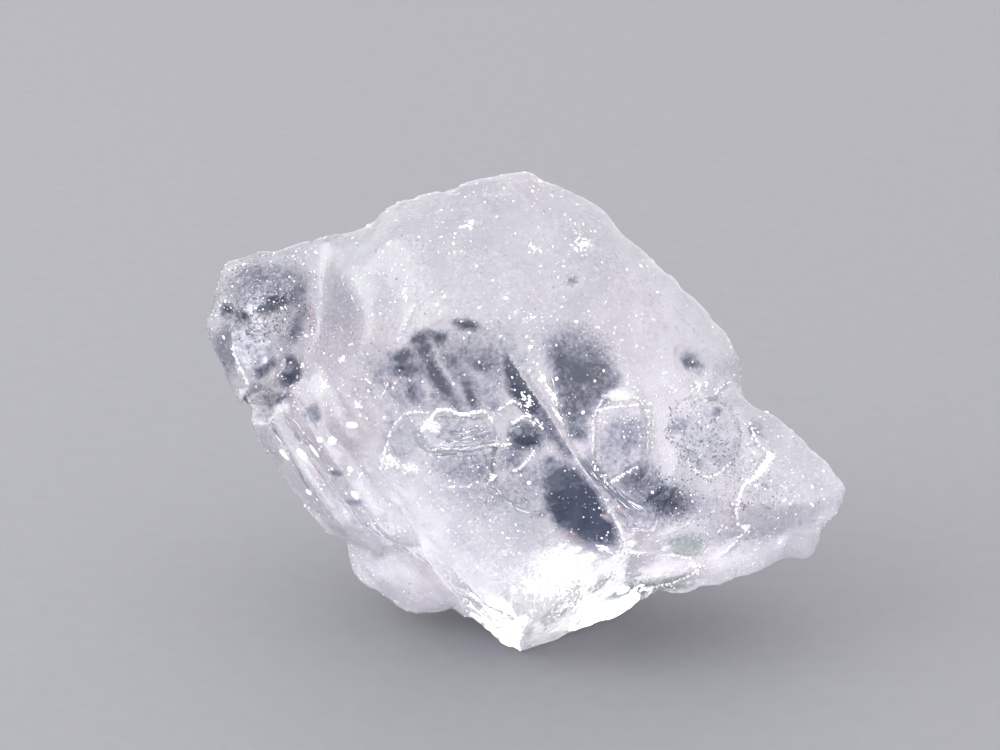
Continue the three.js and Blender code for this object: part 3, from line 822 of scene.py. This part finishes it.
# the slate colour of a pit is painted shade
painted_pit_shade = add(tree, "ShaderNodeMath", {0: pitted, 1: 0.85}, operation="MULTIPLY")
colour = add(tree, "ShaderNodeMix", {0: painted_pit_shade, 6: colour, 7: linear("#434a58")}, data_type="RGBA")
print("etched pits every", PIT_SPACING, "mm")

# %% [markdown]
# Most of the light goes through the skin by plain refraction, and a little is scattered on it. Milk
# blurs what is behind it, so the skin is rougher there than over a window. The mineral itself takes
# a little light on the way, which leaves thick parts slightly blue.

# %% Light through the skin
PHENAKITE_IOR = 1.66
SEE_THROUGH = 0.85  # the share of the light that is refracted
MILKY, GLASSY = 0.26, 0.12  # roughness in the milk and over a window
SKIN_DEPTH = 0.006  # mm from the top of the mottle to its bottom

height = add(tree, "ShaderNodeMath", {0: pitted, 1: -1.5, 2: mottle}, operation="MULTIPLY_ADD")
bump = add(tree, "ShaderNodeBump", {"Height": height, "Distance": SKIN_DEPTH * MM, "Strength": 0.4})
window = add(tree, "ShaderNodeAttribute", attribute_name="clear").outputs["Fac"]
blur = add(tree, "ShaderNodeMapRange", {
    "Value": window, "From Min": 0.1, "From Max": 0.7, "To Min": MILKY, "To Max": GLASSY,
})
shader = add(tree, "ShaderNodeBsdfPrincipled", {
    "Base Color": colour, "Roughness": blur, "IOR": PHENAKITE_IOR, "Normal": bump,
    "Transmission Weight": SEE_THROUGH,
})
haze = add(tree, "ShaderNodeVolumeAbsorption", {"Color": linear("#b3bccf"), "Density": 8.0})
tree.links.new(shader.outputs["BSDF"], output.inputs["Surface"])
tree.links.new(haze.outputs["Volume"], output.inputs["Volume"])
print("nodes in the skin:", len(tree.nodes))

# %% [markdown]
# The net becomes the crystal's body here. From now on its surface is asked for places: a ray sent
# inwards finds the front under any place across and up, so that small things can be laid on it.

# %% The body and places on it
net.mesh.calc_loop_triangles()
triangles = np.empty(len(net.mesh.loop_triangles) * 3, np.int32)
net.mesh.loop_triangles.foreach_get("vertices", triangles)
triangles = triangles.reshape(-1, 3)
surface = BVHTree.FromPolygons([Vector(point) for point in net.points], triangles.tolist())


def place(name, mesh, *materials):
    """Shrinks a millimetre mesh to metres and lets it ride with the crystal."""
    mesh.transform(Matrix.Scale(MM, 4))
    mesh.polygons.foreach_set("use_smooth", [True] * len(mesh.polygons))
    piece = bpy.data.objects.new(name, mesh)
    bpy.context.scene.collection.objects.link(piece)
    for material in materials:
        mesh.materials.append(material)
    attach(piece, "root")
    print(name, "has", sum(len(polygon.vertices) - 2 for polygon in mesh.polygons), "triangles")
    return piece


def on_front_face(x, y):
    """The point of the front at this place, and the normal there, in the frame's directions."""
    start = Vector(framed((x, y, 9.0)))
    point, normal, _, _ = surface.ray_cast(start, Vector(-OUT))
    return (None, None) if point is None else (np.array(point), np.array(normal))


body = place("crystal_body", net.mesh, skin)
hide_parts(NODE)

# %% [markdown]
# The smallest features are finer than the net: hairlines a few hundredths of a millimetre wide, and
# grains that glint. They are real geometry too, thin strands and tiny rounded blobs, and all of one
# kind are joined in one mesh, which is far quicker than thousands of objects.

# %% Small shapes in one mesh
class Shapes:
    """Many small shapes gathered into one mesh."""

    def __init__(self):
        self.points, self.faces, self.count = [], [], 0

    def take(self, points, faces):
        """Adds a shape. Its faces count its own points from 0."""
        self.points.append(np.asarray(points))
        self.faces.append(np.asarray(faces) + self.count)
        self.count += len(points)

    def mesh(self, name):
        """All the shapes as one mesh."""
        made = bpy.data.meshes.new(name)
        faces = [tuple(face) for group in self.faces for face in group.tolist()]
        made.from_pydata(np.concatenate(self.points), [], faces)
        made.validate()
        return made


# %% [markdown]
# Wrinkles beside the ridge, below the notch and on the second crystal: hair-fine steps, most of
# them painted dark as painted shade, since they turn the light away, and some painted bright as
# highlights. One by one they would take long to place, so a bundle of them runs between two guiding
# lines.

# %% Strands
STRAND_STEP = 0.035  # mm from one section of a strand to the next
TAPER = 0.2  # mm over which its ends thin out
SECTION = np.array([(-1.0, -0.5), (-0.55, 0.35), (0.0, 0.6), (0.55, 0.35), (1.0, -0.5)])


def strand(shapes, rng, places, width, wander=0.012, uneven=0.5):
    """Lays one strand along a route: its ends taper, and its width and course waver."""
    path = route(places, STRAND_STEP)
    if len(path) < 4:
        return
    phase = rng.uniform(0, 9, 4)
    along = np.arange(len(path)) * STRAND_STEP
    waver = np.sin(along * 9 + phase[0]) + 0.7 * np.sin(along * 23 + phase[1])
    swell = 1 + uneven * (0.6 * np.sin(along * 13 + phase[2]) + 0.4 * np.sin(along * 37 + phase[3]))
    tangent = np.gradient(path, axis=0)
    tangent /= np.hypot(*tangent.T)[:, None] + 1e-9
    path = path + wander * waver[:, None] * tangent[:, ::-1] * (1, -1)
    taper = np.sqrt(np.clip(np.minimum(along, along[-1] - along) / TAPER, 0.02, 1))
    rows = []
    for place_on, heading, half in zip(path, tangent, 0.5 * width * swell * taper):
        point, normal = on_front_face(*place_on)
        if point is None or normal @ OUT < 0.15 or not heading.any():
            continue
        ahead = heading[0] * ACROSS + heading[1] * UP
        aside = np.cross(normal, ahead)
        aside /= np.linalg.norm(aside)
        rows.append(point + half * (SECTION[:, :1] * aside + SECTION[:, 1:] * normal))
    if len(rows) < 3:
        return
    size = len(SECTION)
    row, column = np.meshgrid(np.arange(len(rows) - 1), np.arange(size - 1), indexing="ij")
    corner = (row * size + column).ravel()
    faces = np.stack([corner, corner + 1, corner + size + 1, corner + size], 1)
    shapes.take(np.concatenate(rows), faces)


def bundle(shapes, rng, first, second, count, width, shortest, longest):
    """Strands between two guiding routes, each over its own stretch of them, as a share of it."""
    first, second = route(first), route(second)
    for _ in range(count):
        share = rng.uniform()
        length = rng.uniform(shortest, longest)
        start = rng.uniform(0, 1 - length)
        guides = []
        for stop in np.linspace(start, start + length, 6):
            on_first, on_second = (line[int(stop * (len(line) - 1))] for line in (first, second))
            guides.append(tuple((1 - share) * on_first + share * on_second))
        strand(shapes, rng, guides, width * rng.uniform(0.6, 1.3))


# %% Wrinkles
WRINKLES = [  # two guiding routes, and how many dark strands of painted shade and how many bright strands of painted highlight run between them
    ([(1.0, 4.8), (1.5, 4.2), (2.1, 3.6), (2.5, 3.3)],
     [(1.4, 4.8), (1.75, 4.2), (2.3, 3.75), (2.8, 3.5)], 40, 9),
    ([(2.1, 3.3), (2.7, 3.15)], [(2.1, 2.95), (2.7, 2.95)], 10, 4),
    ([(-1.0, 4.1), (-0.4, 3.7), (0.0, 3.75)], [(-0.7, 4.0), (-0.3, 3.5), (0.1, 3.3)], 8, 5),
    ([(0.3, 6.7), (0.4, 6.2), (0.8, 5.4)], [(0.5, 6.6), (0.62, 6.1), (0.8, 5.4)], 6, 2),
    ([(-6.2, 5.8), (-5.2, 4.0)], [(-5.5, 5.8), (-4.2, 4.0)], 5, 2),
    ([(-2.3, 5.45), (-1.7, 5.3), (-1.0, 5.45)], [(-2.1, 5.1), (-1.4, 5.0), (-0.8, 5.2)], 7, 3),
]
HAIR = 0.015  # mm
rng = np.random.default_rng(5)  # one stream for all that is strewn from here on
dark_lines, bright_lines = Shapes(), Shapes()
for first, second, dark_count, bright_count in WRINKLES:
    bundle(dark_lines, rng, first, second, dark_count, HAIR, shortest=0.1, longest=0.8)
    bundle(bright_lines, rng, first, second, 2 * bright_count, HAIR, shortest=0.06, longest=0.25)
print("faces in the dark wrinkles:", sum(map(len, dark_lines.faces)))

# %% [markdown]
# White grains and dark grains are two crowds of blobs: the white ones are specks and painted glints
# at once, the dark ones painted shade. Each blob is a ball of a few faces, flattened onto the surface
# and stretched a little. They fall on triangles picked by area, and noise makes them gather, as
# cavities do.

# %% Blobs
OCTAHEDRON = np.array([(1, 0, 0), (0, 1, 0), (-1, 0, 0), (0, -1, 0), (0, 0, 1), (0, 0, -1)], float)
OCTANTS = [(0, 1, 4), (1, 2, 4), (2, 3, 4), (3, 0, 4), (1, 0, 5), (2, 1, 5), (3, 2, 5), (0, 3, 5)]


def ball(rings):
    """The points and faces of a unit ball of triangles: an octahedron where it is tiny."""
    if rings == 0:
        return OCTAHEDRON, np.array(OCTANTS)
    work = bmesh.new()
    bmesh.ops.create_icosphere(work, subdivisions=rings, radius=1.0)
    points = np.array([vertex.co[:] for vertex in work.verts])
    faces = np.array([[vertex.index for vertex in face.verts] for face in work.faces])
    work.free()
    return points, faces


def blobs(shapes, rng, centres, normals, radii, flat, stretch, rings=1):
    """Lays flattened balls on the surface at these centres, each stretched by up to this much."""
    points, faces = ball(rings)
    count = len(centres)
    aside = np.cross(normals, rng.normal(size=(count, 3)))
    aside /= np.linalg.norm(aside, axis=1)[:, None]
    ahead = np.cross(normals, aside)
    spread = rng.uniform(1.0, stretch, count)
    axes = np.stack([aside * (radii * spread)[:, None], ahead * (radii / spread)[:, None]], 1)
    axes = np.concatenate([axes, (normals * (radii * flat)[:, None])[:, None]], 1)
    placed = centres[:, None] + points @ axes
    numbered = faces + len(points) * np.arange(count)[:, None, None]
    shapes.take(placed.reshape(-1, 3), numbered.reshape(-1, 3))


# %% Grains all over
GRAINS = [  # how many, smallest and largest radius in mm, and faces of the ball
    (17000, 0.009, 0.018, 0), (3600, 0.016, 0.034, 1), (300, 0.03, 0.05, 2),
]
CLEAR_OF_GROUND = 0.1  # mm, no grain lies lower
corners = net.points[triangles]
crossed = np.cross(corners[:, 1] - corners[:, 0], corners[:, 2] - corners[:, 0])
areas = np.linalg.norm(crossed, axis=1) / 2


def picked(count, rng):
    """Random places all over the surface: points, normals and the triangles they lie on."""
    chosen = rng.choice(len(areas), count, p=areas / areas.sum())
    shares = rng.dirichlet((1, 1, 1), count)
    points = (corners[chosen] * shares[:, :, None]).sum(1)
    return points, crossed[chosen] / (2 * areas[chosen, None]), chosen


white_grains_and_glints = Shapes()
for count, smallest, largest, rings in GRAINS:
    centres, normals, _ = picked(count, rng)
    crowd = eased(0.5 + 1.3 * fractal(centres, 1.1, 50, 3))
    chance = 0.15 + 0.75 * crowd
    kept = (rng.uniform(size=count) < chance) & (centres[:, 2] > CLEAR_OF_GROUND)
    radii = smallest + (largest - smallest) * rng.power(0.6, kept.sum())
    blobs(white_grains_and_glints, rng, centres[kept], normals[kept], radii, flat=0.5, stretch=1.35, rings=rings)
print("faces in the white grains so far:", sum(map(len, white_grains_and_glints.faces)))

# %% [markdown]
# The painted white ovals at the lower left are smooth highlights that stand out a little, so each
# is one flat white ball of its own. Grains crowd along the crests and in the highlights as painted
# glints, where fresh breaks glitter.

# %% Painted ovals
def lay_painted_oval(shapes, x, y, length, width, turn, thickness=0.04):
    """Lays one flat oval on the front."""
    point, normal = on_front_face(x, y)
    ahead = math.cos(math.radians(turn)) * ACROSS + math.sin(math.radians(turn)) * UP
    aside = np.cross(normal, ahead)
    aside /= np.linalg.norm(aside)
    points, faces = ball(3)
    axes = np.array([length * np.cross(aside, normal), width * aside, thickness * normal])
    shapes.take(point + points @ axes, faces)


raised = [oval for oval in PAINTED_OVALS if oval[-1] >= 0.9]  # the weaker ones are only painted highlight in the skin
for x, y, length, width, turn, _ in raised:
    lay_painted_oval(white_grains_and_glints, x, y, 0.75 * length, 0.75 * width, turn)
print("painted_ovals:", len(raised))

# %% Grains on crests and in highlights
ALONG = 0.01  # mm from one place that a grain can take on a crest to the next
RIDGE_EDGE = (0.0, 0.01, 0.35, *LONG_RIDGE)


def on_crests(lines, per_mm):
    """Places along the crests, strewn over their widths, with a radius for a grain on each."""
    found, radii = [], []
    for _, width, strength, *places in lines:
        path = route(places, ALONG)
        count = int(len(path) * ALONG * per_mm * strength * (0.5 + width / 0.1))
        spots = path[rng.integers(len(path), size=count)] + rng.normal(0, 0.3 * width, (count, 2))
        found.extend(spots)
        radii.extend(rng.uniform(0.08, 0.27, count) * (0.04 + width))
    return np.array(found), np.array(radii)


def in_shines(spots, per_mm2):
    """Places in the bright highlights, with a radius for a grain on each."""
    found, radii = [], []
    for x, y, length, width, turn, strength in spots:
        count = int(10 + length * width * per_mm2 * strength)
        cos, sin = math.cos(math.radians(turn)), math.sin(math.radians(turn))
        along, aside = rng.normal(0, 0.4, (2, count)) * [[length], [width]]
        turned = np.stack([along * cos - aside * sin, along * sin + aside * cos], 1)
        found.extend(turned + (x, y))
        radii.extend(0.01 + 0.035 * rng.power(0.45, count))
    return np.array(found), np.array(radii)


for spots, radii in (on_crests([*CRESTS, RIDGE_EDGE], 60), in_shines([*SHINES, *RIDGE_HIGHLIGHT], 700)):
    hits = [on_front_face(*spot) for spot in spots]
    kept = np.array([point is not None and normal @ OUT > 0.1 for point, normal in hits])
    centres, normals = map(np.array, zip(*(hit for hit, keep in zip(hits, kept) if keep)))
    radii = np.maximum(radii[kept], 0.008)
    blobs(white_grains_and_glints, rng, centres, normals, radii, flat=0.45, stretch=2.0)
print("faces in the white grains:", sum(map(len, white_grains_and_glints.faces)))

# %% [markdown]
# Dark grains are specks of painted shade that sit in etched places and over windows, and hardly
# anywhere else. Each place picked is kept by a chance that the numbers on the net decide.

# %% Dark grains
dark_grains = Shapes()
centres, normals, chosen = picked(200_000, rng)
window, etched = (carried[name][triangles[chosen, 0]] for name in ("clear", "grain"))
# over windows and in etched places the dark grains are painted shade
chance = 0.003 + 0.02 * np.clip(window, 0, 1) + 0.5 * etched
kept = (rng.uniform(size=len(centres)) < chance) & (centres[:, 2] > CLEAR_OF_GROUND)
radii = 0.009 + 0.018 * rng.power(0.5, kept.sum())
blobs(dark_grains, rng, centres[kept], normals[kept], radii, flat=0.4, stretch=1.5, rings=0)
print("dark grains:", kept.sum())

# %% [markdown]
# Sealed inside are the veils: cracks that healed while the crystal grew, and trapped the fluid in
# thousands of flat cavities. Each veil is a bent oval sheet under the front. Noise parts its
# cavities into the islands that give such a veil its fingerprint look. Loose cavities drift between.

# %% Sealed veils
VEILS = [  # across, up, depth under the front, half length and width in mm, turn, tilt, and cavities
    (-2.2, 7.3, 0.9, 1.6, 0.8, -10, 20, 1300), (-1.5, 6.2, 0.6, 1.2, 0.5, -60, 40, 800),
    (1.2, 6.8, 0.9, 1.0, 0.9, -60, 15, 1000), (-3.6, 5.2, 0.8, 1.4, 0.5, -58, 35, 800),
    (0.2, 9.0, 1.0, 1.6, 0.9, 15, -25, 700), (3.4, 7.6, 0.8, 1.3, 0.6, -55, 30, 600),
    (4.6, 4.2, 0.7, 1.3, 0.7, -30, -20, 700), (-5.9, 8.0, 0.5, 0.8, 0.5, 30, 25, 500),
    (0.4, 2.4, 0.7, 1.2, 0.6, -40, 20, 600), (-0.8, 4.3, 0.5, 0.9, 0.5, -10, 15, 500),
    (0.8, 1.0, 0.25, 1.5, 0.9, 30, 10, 3000), (0.6, 1.1, 0.6, 1.7, 1.1, 30, -15, 2500),
    (-1.6, 8.6, 0.8, 1.6, 0.9, 20, 20, 700), (1.9, 8.4, 0.9, 1.5, 0.8, -50, -20, 700),
]
LOOSE = 3000  # cavities between the veils
DEEPEST = 2.2  # mm under the surface


def sealed(places, margin=0.05):
    """Which of the places lie inside the crystal, at least this far under its surface."""
    deep = []
    for spot in map(Vector, places):
        point, normal, _, _ = surface.find_nearest(spot)
        deep.append((point - spot) @ normal > margin)
    return np.array(deep)


def veil(shapes, rng, x, y, depth, length, width, turn, tilt, count):
    """Fills a bent oval sheet under the front with cavities, parted by noise."""
    middle, _ = on_front_face(x, y)
    turn, tilt = math.radians(turn), math.radians(tilt)
    long_way = math.cos(turn) * ACROSS + math.sin(turn) * UP
    short_way = math.cos(tilt) * (math.cos(turn) * UP - math.sin(turn) * ACROSS) + math.sin(tilt) * OUT
    lie = np.cross(long_way, short_way)
    u, v = rng.uniform(-1, 1, (2, 2 * count))
    bend = 0.25 * u * u + 0.12 * np.sin(3 * v + turn)  # mm out of its plane
    sheet = np.stack([u * length, v * width, bend], 1) @ np.array([long_way, short_way, lie])
    places = middle - depth * OUT + sheet
    kept = (u * u + v * v < 1) & (fractal(places, 0.4, 100, 2) > -0.05) & sealed(places)
    radii = 0.012 + 0.03 * rng.power(0.5, kept.sum())
    normals = np.tile(lie, (kept.sum(), 1))
    blobs(shapes, rng, places[kept], normals, radii, flat=0.3, stretch=1.6, rings=0)


cavities = Shapes()
for sheet in VEILS:
    veil(cavities, rng, *sheet)
centres, normals, _ = picked(LOOSE, rng)
sunk = centres - normals * rng.uniform(0.12, DEEPEST, (LOOSE, 1))
sunk = sunk[sealed(sunk)]
lie = rng.normal(size=sunk.shape)
lie /= np.linalg.norm(lie, axis=1)[:, None]
radii = 0.015 + 0.05 * rng.power(0.5, len(sunk))
blobs(cavities, rng, sunk, lie, radii, flat=0.3, stretch=1.6, rings=0)
print("loose cavities:", len(sunk))

# %% [markdown]
# Two finishes for the small things: fresh breaks and crowded cavities, white as crushed glass, which
# also paints glints and highlights, and steps and specks that send the light elsewhere, slate dark,
# which is painted shade. Both are the same mineral, so they share its IOR. Two near colours in
# patches keep them from looking painted.

# %% White and dark finishes
def laid_on(name, patch, first, second, see_through):
    """A finish for small pieces: two colours in patches this many mm across."""
    made, tree, output = new_material(name)
    where = add(tree, "ShaderNodeTexCoord").outputs["Object"]
    uneven = add(tree, "ShaderNodeTexNoise", {"Vector": where, "Scale": PER_MM / patch, "Detail": 3.0})
    tint = add(tree, "ShaderNodeMix", {
        0: uneven, 6: linear(first), 7: linear(second),
    }, data_type="RGBA")
    bump = add(tree, "ShaderNodeBump", {"Height": uneven, "Distance": 0.01 * MM, "Strength": 0.5})
    shader = add(tree, "ShaderNodeBsdfPrincipled", {
        "Base Color": tint, "Roughness": 0.25, "IOR": PHENAKITE_IOR, "Normal": bump,
        "Transmission Weight": see_through,
    })
    tree.links.new(shader.outputs["BSDF"], output.inputs["Surface"])
    return made


white_and_glint = laid_on("crushed_white_break_and_painted_glint", 0.05, "#eeedf4", "#ffffff", 0.0)
shade = laid_on("painted_shade_slate_step", 0.1, "#3e4555", "#6e7484", 0.2)
place("sealed_cavities", cavities.mesh("sealed_cavities"), white_and_glint)
place("white_grains_and_glints", white_grains_and_glints.mesh("white_grains_and_glints"), white_and_glint)
place("bright_wrinkles", bright_lines.mesh("bright_wrinkles"), white_and_glint)
place("dark_grains", dark_grains.mesh("dark_grains"), shade)
place("dark_wrinkles", dark_lines.mesh("dark_wrinkles"), shade)

# %% [markdown]
# The stage is a plain pale floor, matt card with a faint fibre, so that a soft shadow shows where
# the crystal stands.

# %% Floor
FLOOR_REACH = 0.4  # metres from its middle to its sides
FIBRE = 0.6  # mm

floor_mesh = bpy.data.meshes.new("floor")
floor_corners = [(x * FLOOR_REACH, y * FLOOR_REACH, 0) for x, y in ((-1, -1), (1, -1), (1, 1), (-1, 1))]
floor_mesh.from_pydata(floor_corners, [], [(0, 1, 2, 3)])
floor = bpy.data.objects.new("floor", floor_mesh)
bpy.context.scene.collection.objects.link(floor)
pale, tree, output = new_material("matt_grey_card")
where = add(tree, "ShaderNodeTexCoord").outputs["Object"]
fibre = add(tree, "ShaderNodeTexNoise", {"Vector": where, "Scale": PER_MM / FIBRE, "Detail": 4.0})
card = add(tree, "ShaderNodeMix", {
    0: fibre, 6: linear("#7a7a7f"), 7: linear("#808085"),
}, data_type="RGBA")
weave = add(tree, "ShaderNodeBump", {"Height": fibre, "Distance": 0.02 * MM, "Strength": 0.4})
shader = add(tree, "ShaderNodeBsdfPrincipled", {
    "Base Color": card, "Roughness": 0.7, "Normal": weave,
})
tree.links.new(shader.outputs["BSDF"], output.inputs["Surface"])
floor_mesh.materials.append(pale)
print("the floor is", 2 * FLOOR_REACH, "metres wide")

# %% [markdown]
# Soft light comes from a bright, plain world, and a broad lamp above and to the left models the
# face. Two small lamps make the foot as bright as the real one: one low in front of it, and a tiny
# one behind it that shines through. Those two would glare on the floor, so light linking gives them
# a collection of the pieces they may light, which leaves the floor out.

# %% Lamps
def softbox(name, azimuth, elevation, distance, size, power, aim=(0, 0, 0.005)):
    """A round lamp that looks at the crystal, placed by the angles it is seen under. In metres."""
    light = bpy.data.lights.new(name, "AREA")
    light.shape = "DISK"
    light.size = size
    light.energy = power
    lamp = bpy.data.objects.new(name, light)
    bpy.context.scene.collection.objects.link(lamp)
    turn, rise = math.radians(azimuth), math.radians(elevation)
    back = Vector((math.sin(turn) * math.cos(rise), -math.cos(turn) * math.cos(rise), math.sin(rise)))
    lamp.location = Vector(aim) + back * distance
    lamp.rotation_euler = back.to_track_quat("Z", "Y").to_euler()
    lamp.visible_camera = False
    lamp.visible_transmission = False  # so there is no image of the lamp in a facet
    print(name, "shines with", power, "watts")
    return lamp


softbox("top_softbox", -75, 35, 0.12, 0.11, 0.085)
foot_lamp = softbox("foot_lamp", 10, 12, 0.03, 0.006, 0.009, aim=(0.001, -0.003, 0.001))
glow_lamp = softbox("glow_lamp", 178, 3, 0.0048, 0.002, 0.00003, aim=(0.0012, -0.003, 0.0002))
glow_lamp.data.spread = math.radians(60)
glow_lamp.visible_transmission = True  # this one is meant to be seen through the foot

lit = bpy.data.collections.new("lit_by_the_low_lamps")
for piece in bpy.context.scene.objects:
    if piece.type == "MESH" and piece != floor:
        lit.objects.link(piece)
for lamp in (foot_lamp, glow_lamp):
    lamp.visible_glossy = False
    lamp.light_linking.receiver_collection = lit

# %% World
STUDIO_WHITE = (1.7, 1.7, 1.72, 1)

world = bpy.data.worlds.new("studio")
bpy.context.scene.world = world
world.use_nodes = True
world.node_tree.nodes["Background"].inputs["Color"].default_value = STUDIO_WHITE
print("light from all around:", STUDIO_WHITE[:3])

# %% [markdown]
# The camera looks down at 20 degrees, square to the leaning front, from far enough for a long lens.
# Light has to pass many facets and cavities on its way to it, so it may bounce eight times.

# %% Camera
FRAME_WIDTH = 23.95  # mm across the picture at the crystal
FOCAL_LENGTH = 100  # mm, long, so that it flattens the view as a close-up lens does
OFF_CENTRE = (-0.64, 0.36)  # mm across and up from the crystal's middle to the picture's

scene = bpy.context.scene
scene.view_settings.view_transform = "Standard"  # shows the colours as they were chosen
scene.cycles.use_denoising = True
scene.cycles.max_bounces = 8
scene.cycles.transmission_bounces = 7
camera_data = bpy.data.cameras.new("camera")
camera = bpy.data.objects.new("camera", camera_data)
scene.collection.objects.link(camera)
scene.camera = camera
camera_data.lens = FOCAL_LENGTH
camera_data.clip_start = 0.001  # metres, near enough for so small a thing
distance = FRAME_WIDTH * MM / (camera_data.sensor_width / FOCAL_LENGTH)
aim = (low + high) / 2 + OFF_CENTRE[0] * ACROSS + OFF_CENTRE[1] * UP
camera.location = Vector(aim * MM) + Vector(OUT) * distance
camera.rotation_euler = Vector(OUT).to_track_quat("Z", "Y").to_euler()
print("camera at", np.round(np.array(camera.location) / MM, 1), "mm")
